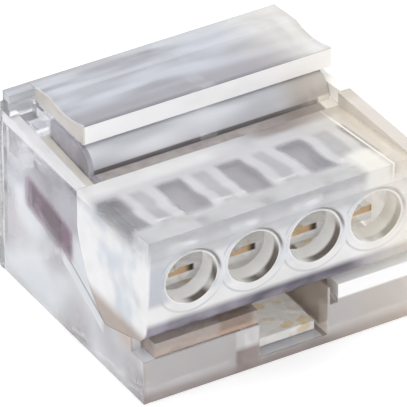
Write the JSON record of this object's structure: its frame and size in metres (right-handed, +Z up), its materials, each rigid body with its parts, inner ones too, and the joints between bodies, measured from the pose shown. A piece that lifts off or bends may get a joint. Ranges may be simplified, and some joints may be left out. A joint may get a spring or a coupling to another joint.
{
  "type": "push-in wire connector",
  "caption": "Small clear push-in connector for solid wires: funnel entries in the front, sprung clamping tongues over a contact bar, and a test slot.",
  "frame": {"origin": "middle of the underside of the outer box", "axes": "+Z up from the underside, -Y the front with the wire entries, +X to the right seen from the front"},
  "size_m": [0.01, 0.01, 0.0071],
  "materials": {
    "clear_shell": "clear moulded polycarbonate, polished",
    "clear_base": "clear moulded polycarbonate, slightly grey",
    "clear_cover": "clear moulded polycarbonate, slightly grey",
    "tinned_copper": "bright tin plating on copper, warm where thin",
    "spring_steel": "stainless spring strip, bright"
  },
  "bodies": {
    "housing": {"base_housing": "clear_base", "entry_block": "clear_shell", "rear_cover": "clear_cover", "contact_bar": "tinned_copper", "spring_comb": "spring_steel"},
    "tongue_1": {"clamp_tongue_1": "spring_steel"},
    "tongue_2": {"clamp_tongue_2": "spring_steel"},
    "tongue_3": {"clamp_tongue_3": "spring_steel"},
    "tongue_4": {"clamp_tongue_4": "spring_steel"}
  },
  "joints": [
    {"name": "clamp_1", "type": "hinge", "parent": "housing", "child": "tongue_1", "pos_m": [-0.00336, -0.0029, 0.00517], "axis": [1, 0, 0], "range_deg": [0, 15], "stiffness_Nm_per_rad": 0.05, "springref_deg": -8.59},
    {"name": "clamp_2", "type": "hinge", "parent": "housing", "child": "tongue_2", "pos_m": [-0.00112, -0.0029, 0.00517], "axis": [1, 0, 0], "range_deg": [0, 15], "stiffness_Nm_per_rad": 0.05, "springref_deg": -8.59},
    {"name": "clamp_3", "type": "hinge", "parent": "housing", "child": "tongue_3", "pos_m": [0.00112, -0.0029, 0.00517], "axis": [1, 0, 0], "range_deg": [0, 15], "stiffness_Nm_per_rad": 0.05, "springref_deg": -8.59},
    {"name": "clamp_4", "type": "hinge", "parent": "housing", "child": "tongue_4", "pos_m": [0.00336, -0.0029, 0.00517], "axis": [1, 0, 0], "range_deg": [0, 15], "stiffness_Nm_per_rad": 0.05, "springref_deg": -8.59}
  ]
}
